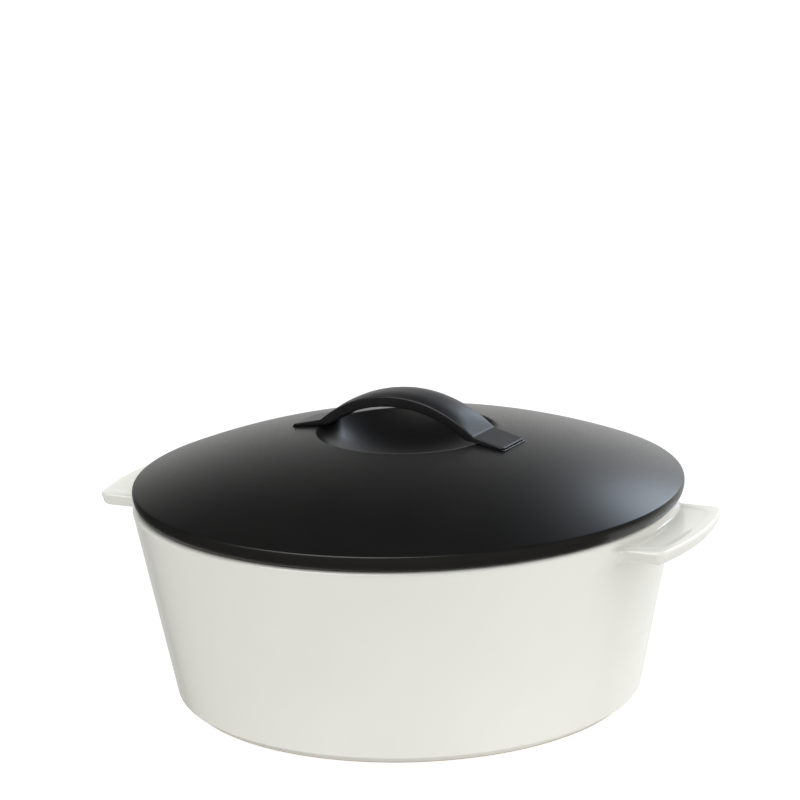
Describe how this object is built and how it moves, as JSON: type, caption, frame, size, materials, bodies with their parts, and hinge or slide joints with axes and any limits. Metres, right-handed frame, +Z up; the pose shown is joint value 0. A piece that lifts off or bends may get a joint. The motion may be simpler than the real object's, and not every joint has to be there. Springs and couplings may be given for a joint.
{
  "type": "covered casserole dish",
  "caption": "Round straight-tapered ceramic casserole with flat side handles and a domed lift-off lid that has a finger bowl and an arched strap handle.",
  "frame": {"origin": "centre of the pot's foot ring, on the face it rests on", "axes": "+Z up through the lid, +X along the line of the two side handles, +Y across them"},
  "size_m": [0.2992, 0.2606, 0.1452],
  "materials": {
    "white_glaze": "satin",
    "black_glaze": "satin",
    "strap_coating": "satin",
    "bond": "gloss"
  },
  "bodies": {
    "pot": {"pot": "white_glaze"},
    "lid": {"lid": "black_glaze", "lid_strap": "strap_coating", "bond_left": "bond", "bond_right": "bond"}
  },
  "joints": [
    {"name": "lid_lift", "type": "slide", "parent": "pot", "child": "lid", "axis": [0, 0, 1], "range_m": [0, 0.12]}
  ]
}
